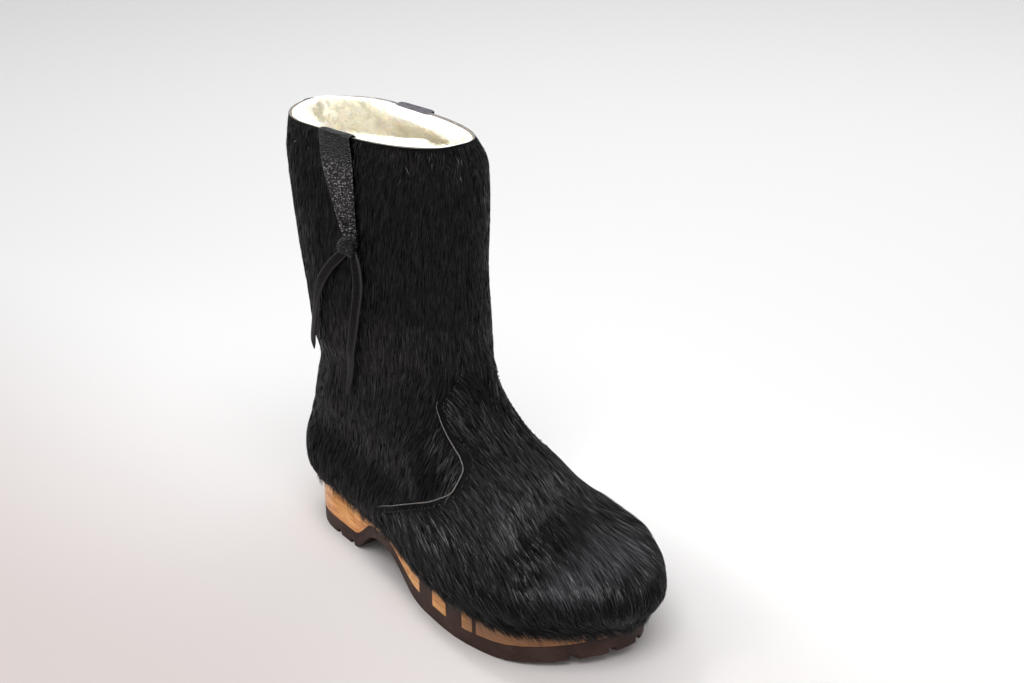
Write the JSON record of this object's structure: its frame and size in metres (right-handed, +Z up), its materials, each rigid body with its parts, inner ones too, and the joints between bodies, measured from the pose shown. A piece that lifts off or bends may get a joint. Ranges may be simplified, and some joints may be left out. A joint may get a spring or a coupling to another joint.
{
  "type": "fur-covered clog boot",
  "caption": "Right-foot ankle-high clog boot in black hair-on hide with a shearling collar, side pull strap with knotted thongs, wooden sole and lugged rubber outsole.",
  "frame": {"origin": "centre of the footprint box, on the floor under the sole", "axes": "+X towards the toe, +Y towards the inner (medial) side, +Z up"},
  "size_m": [0.2996, 0.122, 0.2718],
  "materials": {
    "outsole_rubber": "matt brown moulded rubber",
    "sole_wood": "clear-sealed pale alder",
    "shearling": "cream curly shearling",
    "hide": "black hair-on hide, glossy flat-lying hair",
    "strap_leather": "dark grey pebbled leather, semi-matt"
  },
  "bodies": {
    "root": {"outsole": "outsole_rubber", "wood_sole": "sole_wood", "insole": "shearling", "upper": "hide", "collar_fleece": "shearling", "pull_strap": "strap_leather", "medial_tab": "strap_leather", "back_tab": "strap_leather", "tassel": "strap_leather"}
  },
  "joints": []
}
